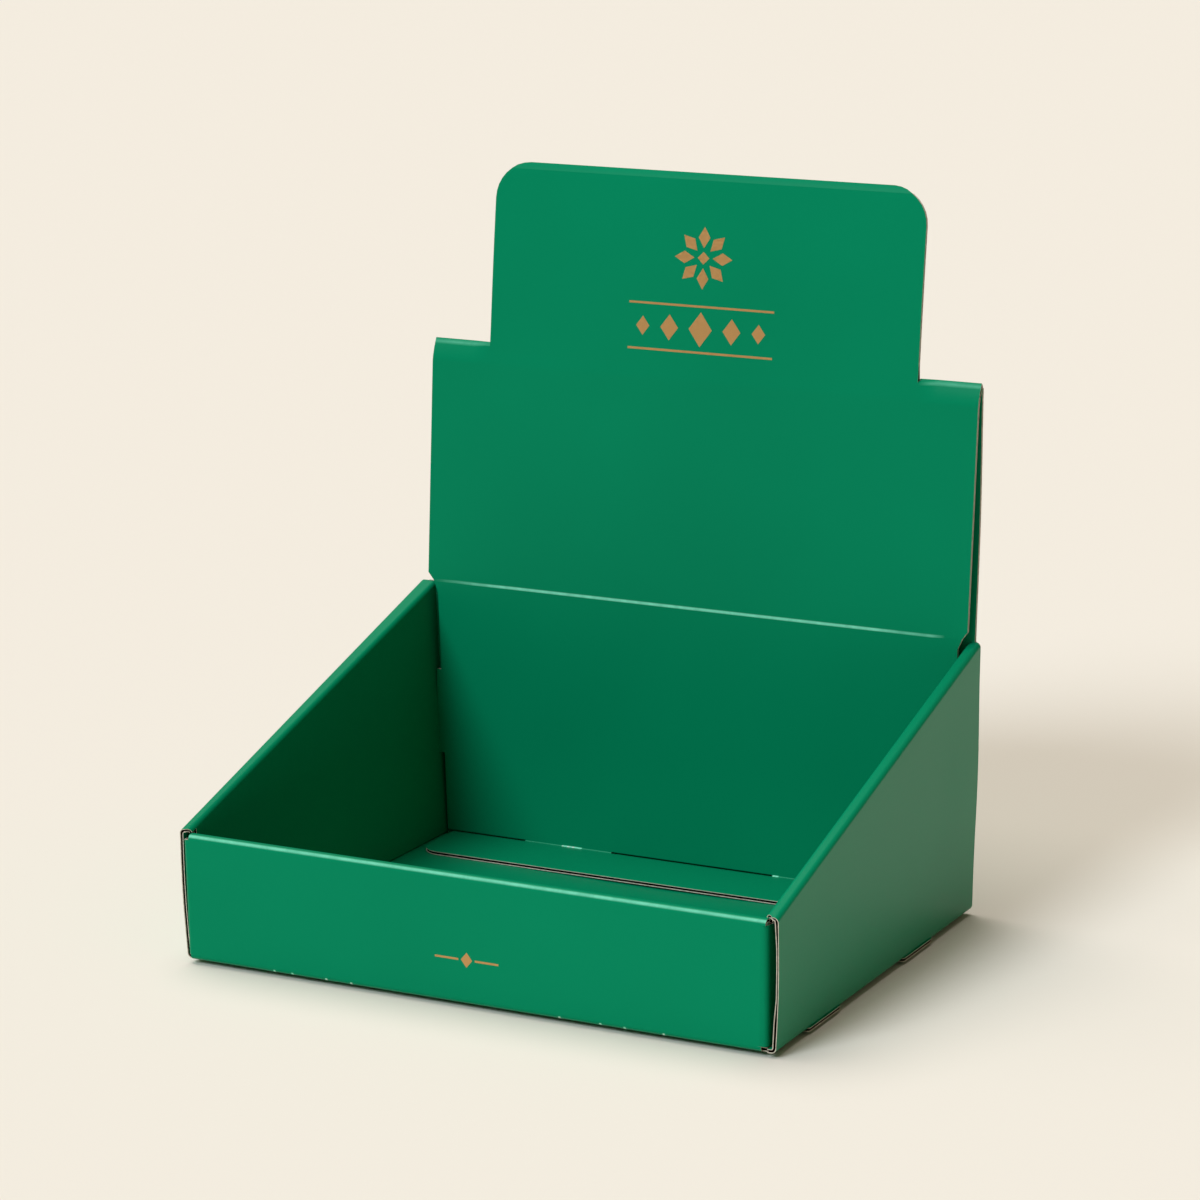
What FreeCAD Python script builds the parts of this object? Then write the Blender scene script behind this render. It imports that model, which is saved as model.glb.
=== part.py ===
import FreeCAD, Part
import math
import os
import Sketcher

# A counter display tray folded from one die-cut blank of corrugated board: a floor, a
# rolled-over front wall, two rolled-over sloping side walls, and a back that climbs to
# the shoulders, folds forward on itself and comes down inside as a second ply.
# Millimetres. X to the right, Y to the back, Z up; origin under the middle of the floor.

DRIVING_SIZES = [
    ("width", 250.0, "over the side walls at the table"),
    ("depth", 205.5, "front face to rear face"),
    ("front_height", 50.5, "table to the top of the front wall"),
    ("rear_height", 111.5, "table to the top of a side wall at the rear"),
    ("shoulder_height", 218.0, "table to the fold at the shoulders"),
    ("overall_height", 293.5, "table to the top of the header"),
    ("board", 1.5, "thickness of the board"),
    ("fold_radius", 0.5, "inside radius of a fold"),
    ("corner_radius", 1.5, "inside radius of the upright corner folds"),
    ("corner_land", 1.0, "straight part of a corner fold before its flap"),
    ("fit_gap", 0.3, "room between plies that only lie near each other"),
    ("rest_gap", 0.2, "least gap or flat left between plies or folds"),
    ("overcut", 1.0, "how far a cut runs past what it cuts"),
    ("side_wall", 7.0, "thickness of a rolled-over side wall"),
    ("front_wall", 5.0, "thickness of the rolled-over front wall"),
    ("shoulder_gap", 1.0, "between the two back plies at the shoulder"),
    ("shoulder_inset", 0.5, "shoulder in from the straight part of the rear's upper edge"),
    ("ridge_height", 113.0, "table to the crease across the front of the back"),
    ("ridge_set", 7.0, "crease across the back, forward of the rear face"),
    ("ridge_inset", 5.6, "end of that crease in from the side of the tray"),
    ("ridge_bend", 6.0, "inside radius of that shallow crease"),
    ("ridge_corner", 3.4, "height of the cut corner above the crease"),
    ("ridge_notch", 4.5, "height of the cut corner below the crease"),
    ("base_set", 4.2, "inner back ply at the floor, forward of the rear face"),
    ("header_width", 192.5, "width of the header"),
    ("header_corner", 15.0, "radius of the header's top corners"),
    ("foot_length", 32.5, "flap on the floor, from the inner back ply"),
    ("foot_width", 227.0, "width of that flap"),
    ("foot_corner", 9.0, "radius of its front corners"),
    ("slit_length", 74.5, "middle slit along the flap's crease"),
    ("slit_bridge", 41.0, "crease left whole at each side of the middle slit"),
    ("tab_length", 42.0, "locking tab of a side wall, and its slot"),
    ("tab_spacing", 100.5, "between the middles of the two tabs of a side"),
    ("front_tab_length", 36.0, "locking tab of the front wall, and its slot"),
    ("front_tab_spacing", 126.0, "between the middles of the front wall's tabs"),
    ("tab_rise", 0.2, "tip of a tab above the table"),
    ("lip_reach", 0.8, "lip of the floor beyond the side wall at a tab slot"),
    ("back_tab_bottom", 38.0, "table to the lower end of the inner back's side tab"),
    ("back_tab_top", 75.0, "table to the upper end of the inner back's side tab"),
    ("front_flap", 52.0, "corner flap of the front wall, from the front face"),
    ("back_flap", 58.0, "corner flap of the back, from the rear face"),
]

# Places that several panels share, written as formulas on the sheet of sizes.
FRONT = "(-Sizes.depth / 2)"
REAR = "(Sizes.depth / 2)"
SIDE = "(Sizes.width / 2)"
FOLD = "(Sizes.fold_radius + Sizes.board)"
CORNER = "(Sizes.corner_radius + Sizes.board)"
FLAP_START = f"({CORNER} + Sizes.corner_land)"
RUN_HALF = f"({SIDE} - {FOLD} - Sizes.rest_gap)"
FLAP_FACE = f"({SIDE} - Sizes.board - Sizes.fit_gap)"
PANEL_HALF = f"({FLAP_FACE} - {CORNER})"
SHOULDER_HALF = f"({SIDE} - {FOLD} - Sizes.shoulder_inset)"
SHOULDER_SET = "(2 * Sizes.board + Sizes.shoulder_gap)"
SHOULDER_FOLD = f"(({SHOULDER_SET} - Sizes.rest_gap) / 2)"
SHOULDER_START = f"(Sizes.shoulder_height - {SHOULDER_FOLD})"
INNER_SIDE = f"({SIDE} - Sizes.side_wall)"
ROLL_HALF = f"({INNER_SIDE} - Sizes.fit_gap)"
INNER_BACK_HALF = f"({INNER_SIDE} - Sizes.fit_gap - Sizes.rest_gap)"
FOOT_TOP = "(2 * Sizes.board + Sizes.rest_gap)"
FOOT_FRONT = f"({REAR} - Sizes.base_set - Sizes.foot_length)"
PLY_FOOT = "(Sizes.board + Sizes.fit_gap)"
UNDER_PLY = "(Sizes.board + Sizes.fit_gap / 2)"
SLOPE = "((Sizes.rear_height - Sizes.front_height) / Sizes.depth)"
FRONT_FLAP_TOP = "(Sizes.front_height - Sizes.board - Sizes.fit_gap)"
BACK_FLAP_TOP = (f"(Sizes.rear_height - Sizes.board - 2 * Sizes.fit_gap"
                 f" - {SLOPE} * {FLAP_START})")


def back_face(height):
    """Y of the upper back's front face at a height; the header lies in the same plane."""
    lean = (f"(Sizes.ridge_set - {SHOULDER_SET})"
            " / (Sizes.shoulder_height - Sizes.ridge_height)")
    return f"({REAR} - {SHOULDER_SET} + ({height} - Sizes.shoulder_height) * {lean})"




def wall_top(place):
    """Height at which the fold over a sloping side wall begins, at a depth."""
    return f"(Sizes.front_height + {SLOPE} * ({place} - {FRONT}) - {FOLD})"


def make_sheet(doc):
    sheet = doc.addObject("Spreadsheet::Sheet", "Sizes")
    for row, (alias, value, meaning) in enumerate(DRIVING_SIZES, start=1):
        sheet.set(f"A{row}", meaning)
        sheet.set(f"B{row}", str(value))
        sheet.setAlias(f"B{row}", alias)
    doc.recompute()
    return sheet


def new_sketch(body, name, role, offset):
    """An empty sketch on an origin plane of the body, moved along the plane's normal."""
    plane = next(o for o in body.Origin.OriginFeatures if o.Role == role)
    sketch = body.newObject("Sketcher::SketchObject", name)
    sketch.AttachmentSupport = [(plane, "")]
    sketch.MapMode = "FlatFace"
    sketch.setExpression("AttachmentOffset.Base.z", offset)
    return sketch


def fix_point(sketch, corner):
    """A construction point held at two formulas; returns its number and its place."""
    place = FreeCAD.Vector(*[float(sketch.evalExpression(text)) for text in corner[:2]], 0)
    point = sketch.addGeometry(Part.Point(place), True)
    across = sketch.addConstraint(
        Sketcher.Constraint("DistanceX", -1, 1, point, 1, place.x))
    up = sketch.addConstraint(Sketcher.Constraint("DistanceY", -1, 1, point, 1, place.y))
    sketch.setExpression(f"Constraints[{across}]", corner[0])
    sketch.setExpression(f"Constraints[{up}]", corner[1])
    return point, place


def add_arc(sketch, before, corner, after, radius):
    """The tangent arc that rounds a corner; returns it, its ends and how it turns."""
    back = (before - corner).normalize()
    ahead = (after - corner).normalize()
    centre_way = (back + ahead).normalize()
    centre = corner + centre_way * (radius / math.sin(back.getAngle(ahead) / 2))
    start = corner + back * (centre - corner).dot(back)
    end = corner + ahead * (centre - corner).dot(ahead)
    turns_left = back.cross(ahead).z < 0
    first, last = (start, end) if turns_left else (end, start)
    angles = [math.atan2(p.y - centre.y, p.x - centre.x) for p in (first, last)]
    circle = Part.Circle(centre, FreeCAD.Vector(0, 0, 1), radius)
    arc = sketch.addGeometry(Part.ArcOfCircle(circle, *angles), False)
    return arc, start, end, turns_left


def draw_run(sketch, places, radii, closed):
    """Straight lines through the places, joined by tangent arcs or plain corners."""
    count = len(places)
    ends = [[places[i], places[(i + 1) % count]] for i in range(count if closed else count - 1)]
    joints = range(count) if closed else range(1, count - 1)
    arcs = {}
    for i in joints:
        if radii[i]:
            arcs[i] = add_arc(sketch, places[i - 1], places[i], places[(i + 1) % count], radii[i])
            ends[i - 1][1] = arcs[i][1]
            ends[i][0] = arcs[i][2]
    lines = [sketch.addGeometry(Part.LineSegment(*pair), False) for pair in ends]
    for i in joints:
        if i in arcs:
            arc, _, _, turns_left = arcs[i]
            near, far = (1, 2) if turns_left else (2, 1)
            sketch.addConstraint(Sketcher.Constraint("Tangent", lines[i - 1], 2, arc, near))
            sketch.addConstraint(Sketcher.Constraint("Tangent", arc, far, lines[i], 1))
        else:
            sketch.addConstraint(Sketcher.Constraint("Coincident", lines[i - 1], 2, lines[i], 1))
    return lines, arcs


def hold_radius(sketch, arc, text):
    size = sketch.addConstraint(
        Sketcher.Constraint("Radius", arc, float(sketch.evalExpression(text))))
    sketch.setExpression(f"Constraints[{size}]", text)


def draw_driven_run(sketch, corners, radius_texts, closed):
    """A run whose corners, given as formulas, drive its lines and arcs."""
    points, places = zip(*[fix_point(sketch, corner) for corner in corners])
    radii = [text and float(sketch.evalExpression(text)) for text in radius_texts]
    lines, arcs = draw_run(sketch, places, radii, closed)
    for i, point in enumerate(points):
        if i in arcs:
            hold_radius(sketch, arcs[i][0], radius_texts[i])
            sketch.addConstraint(Sketcher.Constraint("PointOnObject", point, 1, lines[i - 1]))
            sketch.addConstraint(Sketcher.Constraint("PointOnObject", point, 1, lines[i]))
        elif i < len(lines):
            sketch.addConstraint(Sketcher.Constraint("Coincident", point, 1, lines[i], 1))
        else:
            sketch.addConstraint(Sketcher.Constraint("Coincident", point, 1, lines[-1], 2))
    return lines, arcs, places


def outline_sketch(body, name, role, offset, *loops):
    """Closed outlines; a corner is two formulas, and a third rounds it."""
    sketch = new_sketch(body, name, role, offset)
    for corners in loops:
        radii = [corner[2] if len(corner) > 2 else None for corner in corners]
        draw_driven_run(sketch, corners, radii, closed=True)
    return sketch


def board_sketch(body, name, role, offset, corners, hand):
    """The edge-on section of folded board. The corners are those of one printed face,
    the third formula is a fold's inside radius, and the board lies on the run's left
    (hand 1) or right (hand -1)."""
    sketch = new_sketch(body, name, role, offset)
    inside = [corner[2] if len(corner) > 2 else None for corner in corners]
    places = [FreeCAD.Vector(*[float(sketch.evalExpression(t)) for t in c[:2]], 0)
              for c in corners]
    board = float(sketch.evalExpression("Sizes.board"))
    sideways = [offset_vector(a, b, board * hand) for a, b in zip(places, places[1:])]
    near_radii = list(inside)
    far_radii = list(inside)
    far_places = [places[0] + sideways[0]]
    for i in range(1, len(places) - 1):
        turn = sideways[i - 1].cross(sideways[i]).z * hand
        wide, tight = f"({inside[i]} + Sizes.board)", inside[i]
        near_radii[i], far_radii[i] = (wide, tight) if turn > 0 else (tight, wide)
        mitre = (sideways[i - 1] + sideways[i]) / 2
        far_places.append(places[i] + mitre * (board ** 2 / mitre.dot(mitre)))
    far_places.append(places[-1] + sideways[-1])
    near, near_arcs, _ = draw_driven_run(sketch, corners, near_radii, closed=False)
    sizes = [text and float(sketch.evalExpression(text)) for text in far_radii]
    far, far_arcs = draw_run(sketch, far_places, sizes, closed=False)
    for i, arc in far_arcs.items():
        hold_radius(sketch, arc[0], far_radii[i])
        sketch.addConstraint(
            Sketcher.Constraint("Coincident", near_arcs[i][0], 3, arc[0], 3))
    sketch.addConstraint(Sketcher.Constraint("Parallel", near[0], far[0]))
    if len(near) > 1:
        sketch.addConstraint(Sketcher.Constraint("Parallel", near[-1], far[-1]))
    else:
        gap = sketch.addConstraint(Sketcher.Constraint("Distance", far[0], 1, near[0], board))
        sketch.setExpression(f"Constraints[{gap}]", "Sizes.board")
    for i, end in ((0, 1), (-1, 2)):
        cap = sketch.addGeometry(Part.LineSegment(places[i], far_places[i]), False)
        sketch.addConstraint(Sketcher.Constraint("Coincident", cap, 1, near[i], end))
        sketch.addConstraint(Sketcher.Constraint("Coincident", cap, 2, far[i], end))
        sketch.addConstraint(Sketcher.Constraint("Perpendicular", cap, near[i]))
    return sketch


def offset_vector(start, end, distance):
    """A step to the left of the way from start to end."""
    way = (end - start).normalize()
    return FreeCAD.Vector(-way.y, way.x, 0) * distance


def mirrored(corners):
    return [(f"(-1 * {corner[0]})", *corner[1:]) for corner in corners]


def both_sides(corners):
    return corners, mirrored(corners)


def on_side(corners, hand):
    return corners if hand > 0 else mirrored(corners)


def finish_feature(body, feature, grows):
    """Recomputes a feature and checks that it added or took away material."""
    before = volume_of(feature.BaseFeature)
    body.Document.recompute()
    change = volume_of(feature) - before
    if (change > 0) != grows or abs(change) < 0.01:
        raise RuntimeError(f"{feature.Label} changed the volume by {change:.3f} mm3")
    return feature


def volume_of(feature):
    return feature.Shape.Volume if feature else 0.0


def through(body, kind, name, sketch, length, rise=None):
    """A Pad or Pocket of a sketch, half of its length to each side of the plane. With a
    rise, it climbs by that much for each millimetre to the back."""
    feature = body.newObject(f"PartDesign::{kind}", name)
    feature.Profile = sketch
    feature.SideType = "Symmetric"
    feature.setExpression("Length", length)
    if rise:
        feature.UseCustomVector = True
        feature.Direction = FreeCAD.Vector(0, 1, 0)
        feature.setExpression("Direction.z", rise)
    return finish_feature(body, feature, kind == "Pad")


def between(low, high):
    """The middle and the distance of two formulas."""
    return f"(({low} + {high}) / 2)", f"({high} - {low})"


def cut_facing(body, name, front, rear, *loops):
    """Cuts outlines drawn on the front view between two depths."""
    middle, length = between(front, rear)
    sketch = outline_sketch(body, f"{name}_outline", "XZ_Plane", f"(-1 * {middle})", *loops)
    return through(body, "Pocket", name, sketch, length)


def box_loop(left, right, low, high, radius=None):
    """Four corners; a radius rounds the two lower ones."""
    rounding = (radius,) if radius else ()
    return [(left, low, *rounding), (right, low, *rounding), (right, high), (left, high)]


def fold_front_floor_and_back(body):
    """One run of board from the inside of the front wall, over it, under the floor, up
    the back, over the shoulders and down inside to the flap that lies on the floor."""
    bend = "Sizes.fold_radius"
    shoulder_bend = f"({SHOULDER_FOLD} - Sizes.board)"
    corners = [
        (f"({FRONT} + Sizes.front_wall)", PLY_FOOT),
        (f"({FRONT} + Sizes.front_wall)", "Sizes.front_height", bend),
        (FRONT, "Sizes.front_height", bend),
        (FRONT, "0", bend),
        (REAR, "0", bend),
        (REAR, "Sizes.shoulder_height", shoulder_bend),
        (f"({REAR} - {SHOULDER_SET})", "Sizes.shoulder_height", shoulder_bend),
        (f"({REAR} - Sizes.ridge_set)", "Sizes.ridge_height", "Sizes.ridge_bend"),
        (f"({REAR} - Sizes.base_set)", FOOT_TOP, bend),
        (FOOT_FRONT, FOOT_TOP),
    ]
    section = board_sketch(body, "folded_run_section", "YZ_Plane", "0", corners, hand=1)
    through(body, "Pad", "folded_run", section, f"(2 * {RUN_HALF})")


def cut_front_wall(body):
    """The roll stops between the side walls, and the front face at its corner folds."""
    above = "(Sizes.front_height + Sizes.overcut)"
    roll_end = [
        (ROLL_HALF, above), (ROLL_HALF, FRONT_FLAP_TOP), (PANEL_HALF, FRONT_FLAP_TOP),
        (PANEL_HALF, FOLD), (SIDE, FOLD), (SIDE, above),
    ]
    behind = f"({FRONT} + Sizes.front_wall + Sizes.overcut)"
    cut_facing(body, "front_roll_ends", f"({FRONT} - Sizes.overcut)", behind,
               *both_sides(roll_end))
    ply_end = box_loop(f"({INNER_SIDE} - Sizes.fit_gap)", SIDE, UNDER_PLY, FRONT_FLAP_TOP)
    before = f"({FRONT} + Sizes.front_wall - Sizes.board - Sizes.overcut)"
    cut_facing(body, "inner_front_ends", before, behind, *both_sides(ply_end))


def cut_back(body):
    """The rear ply narrows between the side walls, the shoulders stand in a little, and
    the inner ply has its cut corners at the crease across it."""
    wall_top = "(Sizes.rear_height + Sizes.overcut)"
    over = "(Sizes.shoulder_height + Sizes.overcut)"
    behind = f"({REAR} + Sizes.overcut)"
    behind_inner = f"({REAR} - Sizes.board - Sizes.fit_gap)"
    before_inner = f"({REAR} - Sizes.ridge_set - Sizes.overcut)"
    rear_end = box_loop(PANEL_HALF, SIDE, FOLD, wall_top)
    cut_facing(body, "rear_panel_ends", behind_inner, behind, *both_sides(rear_end))
    shoulder_end = box_loop(SHOULDER_HALF, SIDE, wall_top, over)
    cut_facing(body, "shoulder_ends", before_inner, behind, *both_sides(shoulder_end))
    corner_top = "(Sizes.ridge_height + Sizes.ridge_corner)"
    inner_end = [
        (SIDE, corner_top),
        (SHOULDER_HALF, corner_top),
        (f"({SIDE} - Sizes.ridge_inset)", "Sizes.ridge_height"),
        (INNER_BACK_HALF, "(Sizes.ridge_height - Sizes.ridge_notch)", "Sizes.ridge_notch"),
        (INNER_BACK_HALF, UNDER_PLY),
        (SIDE, UNDER_PLY),
    ]
    cut_facing(body, "inner_back_ends", before_inner, behind_inner, *both_sides(inner_end))


def cut_foot_flap(body):
    """Rounds the flap's front corners and slits the crease that joins it to the back."""
    half = "(Sizes.foot_width / 2)"
    crease = f"({REAR} - Sizes.base_set - 2 * Sizes.fold_radius)"
    past_corner = f"({half} - Sizes.foot_corner - Sizes.overcut)"
    ahead = f"({FOOT_FRONT} - Sizes.overcut)"
    foot_end = [
        (SIDE, crease), (half, crease), (half, FOOT_FRONT, "Sizes.foot_corner"),
        (past_corner, FOOT_FRONT), (past_corner, ahead), (SIDE, ahead),
    ]
    middle, height = between(UNDER_PLY, f"({FOOT_TOP} + Sizes.overcut)")
    sketch = outline_sketch(body, "foot_flap_outline", "XY_Plane", middle,
                            *both_sides(foot_end))
    through(body, "Pocket", "foot_flap_corners", sketch, height)

    slit = box_loop(f"({REAR} - Sizes.base_set - Sizes.fit_gap)",
                    f"({REAR} - Sizes.board - Sizes.fit_gap)",
                    UNDER_PLY, f"({FOOT_TOP} + Sizes.fit_gap)")
    side_start = "(Sizes.slit_length / 2 + Sizes.slit_bridge)"
    side_middle, side_length = between(side_start, f"({INNER_BACK_HALF} + Sizes.overcut)")
    spans = [
        ("middle_slit", "0", "Sizes.slit_length"),
        ("right_slit", side_middle, side_length),
        ("left_slit", f"(-1 * {side_middle})", side_length),
    ]
    for name, place, length in spans:
        section = outline_sketch(body, f"{name}_section", "YZ_Plane", place, slit)
        through(body, "Pocket", name, section, length)


def raise_header(body):
    """The header is cut out of the rear ply and stands up in the plane of the front ply,
    so the rear ply has an opening of the same outline."""
    half = "(Sizes.header_width / 2)"
    minus = "(-1 * Sizes.header_width / 2)"
    opening_foot = "(2 * Sizes.shoulder_height - Sizes.overall_height)"
    opening = box_loop(minus, half, opening_foot, SHOULDER_START, "Sizes.header_corner")
    behind_inner = f"({REAR} - Sizes.board - Sizes.fit_gap)"
    behind = f"({REAR} + Sizes.overcut)"
    cut_facing(body, "header_opening", behind_inner, behind, opening)
    root = box_loop(minus, half, SHOULDER_START, "(Sizes.shoulder_height + Sizes.overcut)")
    cut_facing(body, "header_root", f"({REAR} - {SHOULDER_SET} - Sizes.overcut)", behind, root)
    lower = f"({SHOULDER_START} - Sizes.board)"
    corners = [
        (back_face("Sizes.overall_height"), "Sizes.overall_height"),
        (back_face(lower), lower),
    ]
    section = board_sketch(body, "header_section", "YZ_Plane", "0", corners, hand=1)
    header = through(body, "Pad", "header", section, "Sizes.header_width")
    top = float(header.evalExpression("Sizes.overall_height - Sizes.board"))
    edges = [f"Edge{i}" for i, edge in enumerate(header.Shape.Edges, start=1)
             if edge.BoundBox.ZMin > top and edge.BoundBox.XLength < 0.001]
    rounding = body.newObject("PartDesign::Fillet", "header_corners")
    rounding.Base = (header, edges)
    rounding.setExpression("Radius", "Sizes.header_corner")
    finish_feature(body, rounding, grows=False)


def cut_floor_slots(body):
    """Slots in the floor for the tabs of the side walls and of the front wall."""
    loops = []
    for sign in ("+", "-"):
        middle = f"(0 {sign} Sizes.tab_spacing / 2)"
        reach = "(Sizes.tab_length / 2 + Sizes.fit_gap)"
        slot = box_loop(f"({INNER_SIDE} - Sizes.fit_gap)",
                        f"({INNER_SIDE} + Sizes.board + Sizes.fit_gap)",
                        f"({middle} - {reach})", f"({middle} + {reach})")
        loops.extend(both_sides(slot))
    reach = "(Sizes.front_tab_length / 2 + Sizes.fit_gap)"
    inner_face = f"({FRONT} + Sizes.front_wall)"
    slot = box_loop(f"(Sizes.front_tab_spacing / 2 - {reach})",
                    f"(Sizes.front_tab_spacing / 2 + {reach})",
                    f"({inner_face} - Sizes.board - Sizes.fit_gap)",
                    f"({inner_face} + Sizes.fit_gap)")
    loops.extend(both_sides(slot))
    middle, height = between("(-1 * Sizes.fit_gap)", UNDER_PLY)
    sketch = outline_sketch(body, "floor_slot_outlines", "XY_Plane", middle, *loops)
    through(body, "Pocket", "floor_slots", sketch, height)


def add_front_tabs(body):
    """Tabs of the inner front ply, down through the floor."""
    half = "(Sizes.front_tab_length / 2)"
    tab = box_loop(f"(Sizes.front_tab_spacing / 2 - {half})",
                   f"(Sizes.front_tab_spacing / 2 + {half})",
                   "Sizes.tab_rise", f"({PLY_FOOT} + Sizes.board)")
    middle, length = between(f"({FRONT} + Sizes.front_wall - Sizes.board)",
                             f"({FRONT} + Sizes.front_wall)")
    sketch = outline_sketch(body, "front_tab_outlines", "XZ_Plane", f"(-1 * {middle})",
                            *both_sides(tab))
    through(body, "Pad", "front_tabs", sketch, length)


def add_corner_flaps(body, name, hand):
    """The front's and the back's corner flaps, turned in between the side wall's plies."""
    ends = [
        ("front", FRONT, 1, "Sizes.front_flap", FRONT_FLAP_TOP, "0"),
        ("back", REAR, -1, "Sizes.back_flap", BACK_FLAP_TOP, SLOPE),
    ]
    for end, face, inward, reach, top, slope in ends:
        start = f"({face} + {inward} * {FLAP_START})"
        tip = f"({face} + {inward} * {reach})"
        fold = [
            (f"({PANEL_HALF} - Sizes.board)", face),
            (FLAP_FACE, face, "Sizes.corner_radius"),
            (FLAP_FACE, start),
        ]
        middle, height = between(FOLD, top)
        sketch = board_sketch(body, f"{name}_{end}_fold_section", "XY_Plane", middle,
                              on_side(fold, hand), hand * inward)
        through(body, "Pad", f"{name}_{end}_corner_fold", sketch, height)
        tip_top = f"({top} - {slope} * ({reach} - {FLAP_START}))"
        flap = [(f"({face} + {inward} * {CORNER})", FOLD),
                (f"({face} + {inward} * {CORNER})", top),
                (start, top),
                (tip, tip_top, "Sizes.foot_corner"),
                (tip, FOLD, "Sizes.foot_corner")]
        middle, length = between(f"({FLAP_FACE} - Sizes.board)", FLAP_FACE)
        sketch = outline_sketch(body, f"{name}_{end}_flap_outline", "YZ_Plane",
                                f"({hand} * {middle})", flap)
        through(body, "Pad", f"{name}_{end}_flap", sketch, length)


def roll_side_wall(body, name, hand):
    """The fold up from the floor, the outer ply, the sloping roll over the top, and the
    inner ply."""
    bend = "Sizes.fold_radius"
    floor_fold = [(RUN_HALF, "0"), (SIDE, "0", bend), (SIDE, f"({FOLD} + Sizes.board)")]
    sketch = board_sketch(body, f"{name}_floor_fold_section", "XZ_Plane", "0",
                          on_side(floor_fold, hand), hand)
    through(body, "Pad", f"{name}_floor_fold", sketch, "Sizes.depth")

    outer = [(FRONT, FOLD), (REAR, FOLD), (REAR, wall_top(REAR)), (FRONT, wall_top(FRONT))]
    middle = f"({hand} * ({SIDE} - Sizes.board / 2))"
    sketch = outline_sketch(body, f"{name}_outer_outline", "YZ_Plane", middle, outer)
    through(body, "Pad", f"{name}_outer_ply", sketch, "Sizes.board")

    top = "((Sizes.front_height + Sizes.rear_height) / 2)"
    under_fold = f"({top} - {FOLD} - Sizes.board)"
    roll = [(SIDE, under_fold), (SIDE, top, bend), (INNER_SIDE, top, bend),
            (INNER_SIDE, under_fold)]
    sketch = board_sketch(body, f"{name}_roll_section", "XZ_Plane", "0",
                          on_side(roll, hand), hand)
    through(body, "Pad", f"{name}_roll", sketch, "Sizes.depth", rise=SLOPE)

    middle = f"({hand} * ({INNER_SIDE} + Sizes.board / 2))"
    sketch = outline_sketch(body, f"{name}_inner_outline", "YZ_Plane", middle,
                            inner_ply_outline())
    through(body, "Pad", f"{name}_inner_ply", sketch, "Sizes.board")


def inner_ply_outline():
    """From behind the front wall to before the rear ply, with two tabs down through the
    floor and a notch for the tab of the inner back."""
    front = f"({FRONT} + Sizes.front_wall + Sizes.fit_gap)"
    rear = f"({REAR} - Sizes.board - Sizes.fit_gap)"
    foot = []
    for sign in ("-", "+"):
        middle = f"(0 {sign} Sizes.tab_spacing / 2)"
        low, high = f"({middle} - Sizes.tab_length / 2)", f"({middle} + Sizes.tab_length / 2)"
        foot += [(low, PLY_FOOT), (low, "Sizes.tab_rise"), (high, "Sizes.tab_rise"),
                 (high, PLY_FOOT)]
    low = "(Sizes.back_tab_bottom - Sizes.fit_gap)"
    high = "(Sizes.back_tab_top + Sizes.fit_gap)"
    notch_end = f"({REAR} - Sizes.ridge_set)"
    notch = [(rear, low), (notch_end, low), (notch_end, high), (rear, high)]
    return [(front, PLY_FOOT), *foot, (rear, PLY_FOOT), *notch, (rear, wall_top(rear)),
            (front, wall_top(front))]


def add_back_tab(body, name, hand):
    """The inner back's tab, out through the notch of the inner side ply."""
    fall = (f"((Sizes.ridge_set - Sizes.base_set) / (Sizes.ridge_height - {FOOT_TOP}))")
    corners = [(f"({REAR} - Sizes.base_set - ({height} - {FOOT_TOP}) * {fall})", height)
               for height in ("Sizes.back_tab_top", "Sizes.back_tab_bottom")]
    middle, length = between(f"({INNER_BACK_HALF} - Sizes.board)",
                             f"({FLAP_FACE} - Sizes.board - Sizes.fit_gap)")
    section = board_sketch(body, f"{name}_back_tab_section", "YZ_Plane",
                           f"({hand} * {middle})", corners, hand=1)
    through(body, "Pad", f"{name}_back_tab", section, length)


def shape_slot_lips(body):
    """At each tab slot the side fold is cut away, and the floor stays flat and reaches a
    little past the side wall."""
    cuts, lips = [], []
    for sign in ("-", "+"):
        low = f"(0 {sign} Sizes.tab_spacing / 2 - Sizes.tab_length / 2)"
        high = f"(0 {sign} Sizes.tab_spacing / 2 + Sizes.tab_length / 2)"
        cuts.extend(both_sides(box_loop(RUN_HALF, f"({SIDE} + Sizes.overcut)", low, high)))
        edge = f"({SIDE} + Sizes.lip_reach)"
        lip = [(RUN_HALF, low), (edge, low, FOLD), (edge, high, FOLD), (RUN_HALF, high)]
        lips.extend(both_sides(lip))
    middle, height = between("(-1 * Sizes.fit_gap)", PLY_FOOT)
    sketch = outline_sketch(body, "lip_cut_outlines", "XY_Plane", middle, *cuts)
    through(body, "Pocket", "lip_cuts", sketch, height)
    sketch = outline_sketch(body, "lip_outlines", "XY_Plane", "(Sizes.board / 2)", *lips)
    through(body, "Pad", "slot_lips", sketch, "Sizes.board")


def build_box(doc):
    body = doc.addObject("PartDesign::Body", "display_box")
    body.Label = "display_box"
    fold_front_floor_and_back(body)
    cut_front_wall(body)
    cut_back(body)
    cut_foot_flap(body)
    raise_header(body)
    cut_floor_slots(body)
    add_front_tabs(body)
    sides = (("right", 1), ("left", -1))
    for name, hand in sides:
        add_corner_flaps(body, name, hand)
        roll_side_wall(body, name, hand)
        add_back_tab(body, name, hand)
    shape_slot_lips(body)
    return body


def check_document(doc, bodies):
    for item in doc.Objects:
        if "Invalid" in item.State or "Error" in item.State:
            raise RuntimeError(f"{item.Label} failed: {item.State}")
    for body in bodies:
        if body.Shape.isNull() or not body.Shape.isValid():
            raise RuntimeError(f"{body.Label} has no valid shape")
        if len(body.Shape.Solids) != 1:
            raise RuntimeError(f"{body.Label} is {len(body.Shape.Solids)} solids, not one")


def main():
    doc = FreeCAD.newDocument("display_box")
    make_sheet(doc)
    bodies = [build_box(doc)]
    doc.recompute()
    check_document(doc, bodies)
    os.makedirs("parts", exist_ok=True)
    for body in bodies:
        body.Shape.exportStep(f"parts/{body.Label}.step")


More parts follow.
